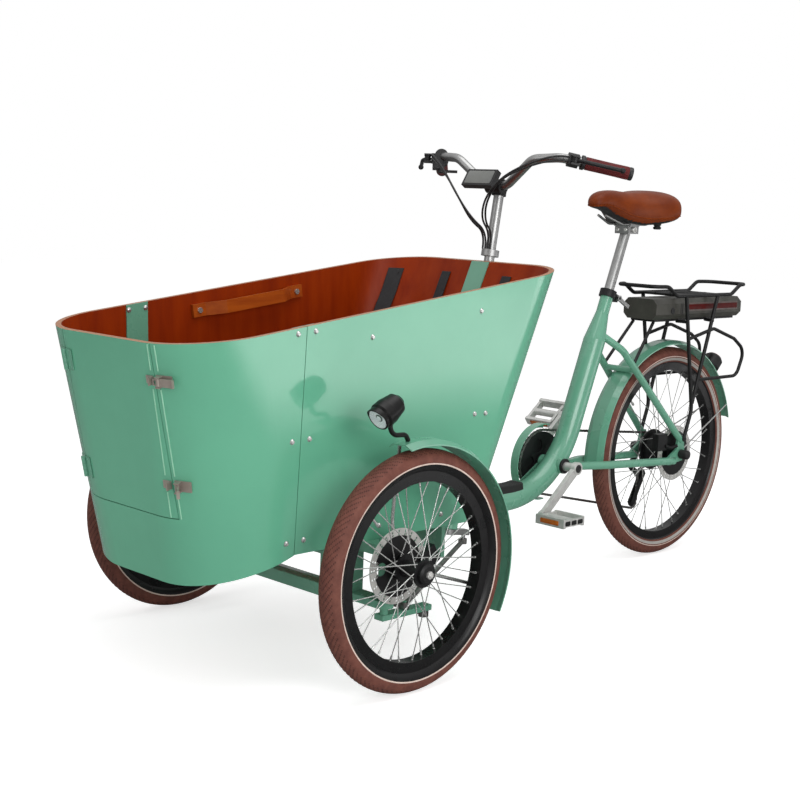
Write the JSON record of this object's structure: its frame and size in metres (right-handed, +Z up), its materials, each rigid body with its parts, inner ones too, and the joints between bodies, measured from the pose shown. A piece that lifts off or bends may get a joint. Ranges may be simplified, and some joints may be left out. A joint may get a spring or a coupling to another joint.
{
  "type": "cargo tricycle",
  "caption": "Front-loading cargo tricycle with a deep bent-plywood box between two steered wheels, a swinging front door, bench, and a pedalled rear wheel under a battery rack.",
  "frame": {"origin": "ground level under the centre of the overall box", "axes": "+X forward, +Y to the rider's left, +Z up"},
  "size_m": [2.225, 0.887, 1.1322],
  "materials": {
    "green_paint": "gloss mint paint on steel and alloy tube",
    "green_ply": "plywood, gloss mint outside and red-brown stain inside",
    "brown_ply": "red-brown stained plywood",
    "tyre": "brown tread rubber with a pale line",
    "rim": "black anodised rim",
    "steel": "plain steel wire and plate",
    "alloy": "polished alloy",
    "black_plastic": "black moulded plastic",
    "black_metal": "black powder coat",
    "leather": "brown stitched leather",
    "maroon": "ribbed maroon grip rubber",
    "webbing": "black webbing",
    "battery_case": "dark grey case",
    "cable": "black cable sheath"
  },
  "bodies": {
    "frame": {"main_frame": "green_paint", "subframe": "green_paint", "front_panel": "green_ply", "left_panel": "green_ply", "right_panel": "green_ply", "box_hardware": "steel", "floor_board": "brown_ply", "bench": "brown_ply", "seam_straps": "green_paint", "grab_handles": "brown_ply", "harness": "webbing", "chain": "steel", "chain_guard": "green_paint", "derailleur": "black_metal", "seat_clamp": "black_metal", "rack": "black_metal", "tail_light": "black_plastic", "rear_fender": "green_paint", "rear_caliper": "black_metal"},
    "steering": {"steering_column": "alloy", "handlebar": "alloy", "grips": "maroon", "bar_controls": "black_plastic", "control_cables": "cable"},
    "left_lever": {"left_brake_lever": "black_metal"},
    "right_lever": {"right_brake_lever": "black_metal"},
    "shifter": {"shift_lever": "black_metal"},
    "left_steer": {"left_knuckle": "green_paint", "left_fender": "green_paint", "left_caliper": "black_metal", "headlamp": "black_plastic"},
    "right_steer": {"right_knuckle": "green_paint", "right_fender": "green_paint", "right_caliper": "black_metal"},
    "left_wheel": {"left_tyre": "tyre", "left_rim": "rim", "left_spokes": "steel", "left_disc_hub": "steel"},
    "right_wheel": {"right_tyre": "tyre", "right_rim": "rim", "right_spokes": "steel", "right_disc_hub": "steel"},
    "rear_wheel": {"rear_tyre": "tyre", "rear_rim": "rim", "rear_spokes": "steel", "rear_disc_hub": "steel"},
    "tie_link": {"tie_rod": "green_paint"},
    "drag_arm": {"drag_link": "green_paint"},
    "door_leaf": {"door": "green_ply", "door_hardware": "steel"},
    "upper_catch": {"upper_latch": "steel"},
    "lower_catch": {"lower_latch": "steel"},
    "crank": {"crankset": "alloy"},
    "left_tread": {"left_pedal": "alloy"},
    "right_tread": {"right_pedal": "alloy"},
    "cogs": {"cassette": "steel"},
    "seat": {"seatpost": "alloy", "saddle": "leather"},
    "seat_lever": {"clamp_lever": "alloy"},
    "battery_pack": {"battery": "battery_case"}
  },
  "joints": [
    {"name": "steer", "type": "hinge", "parent": "frame", "child": "steering", "pos_m": [0.09735, 0, 0.178], "axis": [-0.1564, 0, 0.9877], "range_deg": [-18, 18]},
    {"name": "left_kingpin", "type": "hinge", "parent": "frame", "child": "left_steer", "pos_m": [0.62735, 0.318, 0.27], "axis": [0, 0, 1], "range_deg": [-18, 18]},
    {"name": "right_kingpin", "type": "hinge", "parent": "frame", "child": "right_steer", "pos_m": [0.62735, -0.318, 0.27], "axis": [0, 0, 1], "range_deg": [-18, 18]},
    {"name": "tie_rod_pivot", "type": "hinge", "parent": "left_steer", "child": "tie_link", "pos_m": [0.50735, 0.318, 0.1235], "axis": [0, 0, 1], "range_deg": [-18, 18]},
    {"name": "drag_link_pivot", "type": "hinge", "parent": "left_steer", "child": "drag_arm", "pos_m": [0.56735, 0.318, 0.1525], "axis": [0, 0, 1], "range_deg": [-18, 18]},
    {"name": "left_wheel_spin", "type": "hinge", "parent": "left_steer", "child": "left_wheel", "pos_m": [0.62735, 0.4025, 0.2535], "axis": [0, 1, 0], "continuous": true},
    {"name": "right_wheel_spin", "type": "hinge", "parent": "right_steer", "child": "right_wheel", "pos_m": [0.62735, -0.4025, 0.2535], "axis": [0, 1, 0], "continuous": true},
    {"name": "rear_wheel_spin", "type": "hinge", "parent": "frame", "child": "rear_wheel", "pos_m": [-0.79865, 0, 0.3035], "axis": [0, 1, 0], "continuous": true},
    {"name": "crank_spin", "type": "hinge", "parent": "frame", "child": "crank", "pos_m": [-0.30665, 0, 0.314], "axis": [0, 1, 0], "continuous": true},
    {"name": "cassette_spin", "type": "hinge", "parent": "frame", "child": "cogs", "pos_m": [-0.79865, 0, 0.3035], "axis": [0, 1, 0], "continuous": true},
    {"name": "left_pedal_spin", "type": "hinge", "parent": "crank", "child": "left_tread", "pos_m": [-0.17642, 0.13, 0.20473], "axis": [0, 1, 0], "continuous": true},
    {"name": "right_pedal_spin", "type": "hinge", "parent": "crank", "child": "right_tread", "pos_m": [-0.43688, -0.13, 0.42327], "axis": [0, 1, 0], "continuous": true},
    {"name": "left_brake_pull", "type": "hinge", "parent": "steering", "child": "left_lever", "pos_m": [-0.02655, 0.24142, 1.10773], "axis": [-0.1374, 0.1263, 0.9824], "range_deg": [0, 16], "stiffness_Nm_per_rad": 1.5, "springref_deg": -11.46},
    {"name": "right_brake_pull", "type": "hinge", "parent": "steering", "child": "right_lever", "pos_m": [-0.02655, -0.24142, 1.10773], "axis": [0.1374, 0.1263, -0.9824], "range_deg": [0, 16], "stiffness_Nm_per_rad": 1.5, "springref_deg": -11.46},
    {"name": "gear_shift", "type": "hinge", "parent": "steering", "child": "shifter", "pos_m": [-0.02527, -0.19134, 1.07974], "axis": [-0.1374, -0.1263, 0.9824], "range_deg": [0, 25], "stiffness_Nm_per_rad": 0.3, "springref_deg": -17.19},
    {"name": "door_swing", "type": "hinge", "parent": "frame", "child": "door_leaf", "pos_m": [1.05336, -0.151, 0.428], "axis": [-0.2135, 0, -0.977], "range_deg": [0, 105]},
    {"name": "upper_latch_turn", "type": "hinge", "parent": "frame", "child": "upper_catch", "pos_m": [1.10281, 0.17041, 0.64343], "axis": [-0.1972, -0.0688, -0.9779], "range_deg": [0, 55]},
    {"name": "lower_latch_turn", "type": "hinge", "parent": "frame", "child": "lower_catch", "pos_m": [1.05516, 0.17177, 0.43544], "axis": [-0.1893, -0.0872, -0.9781], "range_deg": [-55, 0]},
    {"name": "seat_height", "type": "slide", "parent": "frame", "child": "seat", "axis": [-0.3584, 0, 0.9336], "range_m": [-0.1, 0.06]},
    {"name": "seat_lever_turn", "type": "hinge", "parent": "frame", "child": "seat_lever", "pos_m": [-0.53524, 0.009, 0.75384], "axis": [0, 1, 0], "range_deg": [0, 100]},
    {"name": "battery_slide", "type": "slide", "parent": "frame", "child": "battery_pack", "axis": [-1, 0, 0], "range_m": [0, 0.4]}
  ],
  "couplings": [
    {"joint": "left_kingpin", "follows": "steer", "ratio": 1},
    {"joint": "right_kingpin", "follows": "steer", "ratio": 1},
    {"joint": "tie_rod_pivot", "follows": "steer", "ratio": -1},
    {"joint": "drag_link_pivot", "follows": "steer", "ratio": -1},
    {"joint": "cassette_spin", "follows": "crank_spin", "ratio": 1.8696}
  ]
}
